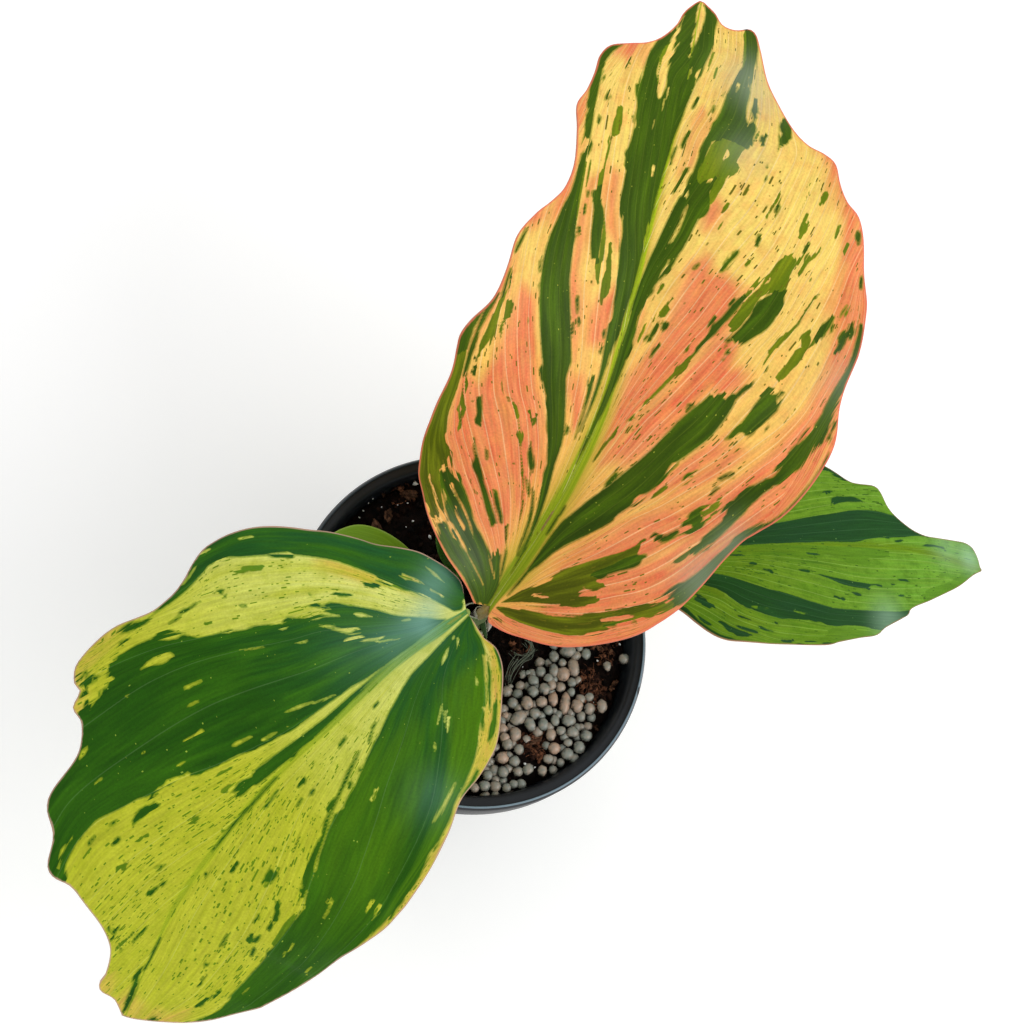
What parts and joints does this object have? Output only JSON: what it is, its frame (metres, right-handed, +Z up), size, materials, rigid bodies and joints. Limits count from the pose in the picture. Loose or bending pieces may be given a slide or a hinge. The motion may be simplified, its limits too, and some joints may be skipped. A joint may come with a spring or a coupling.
{
  "type": "potted variegated peacock ginger",
  "caption": "Young variegated peacock ginger with broad waved leaves on a short sheathed stem, growing in a round nursery pot of potting mix.",
  "frame": {"origin": "centre of the pot's flat underside", "axes": "+Z up along the pot's axis, +X to the right and +Y away from the viewer"},
  "size_m": [0.2729, 0.2558, 0.1729],
  "materials": {
    "pot_plastic": "satin injection-moulded polypropylene",
    "potting_mix": "damp peat and coir with grey fertiliser prills",
    "rhizome": "fleshy, dull",
    "leaf_peach": "waxy satin leaf, peach and yellow with green streaks",
    "leaf_lime": "waxy satin leaf, lime yellow with dark green bands",
    "leaf_green": "waxy satin leaf, mid green with dark green bands",
    "leaf_young": "waxy satin leaf, plain green",
    "dry_sheath": "thin, papery and dull"
  },
  "bodies": {
    "root": {"pot": "pot_plastic", "soil": "potting_mix", "rhizome": "rhizome", "leaf_peach": "leaf_peach", "leaf_lime": "leaf_lime", "leaf_green": "leaf_green", "leaf_small": "leaf_young", "leaf_spear": "leaf_young", "dry_sheath": "dry_sheath"}
  },
  "joints": []
}
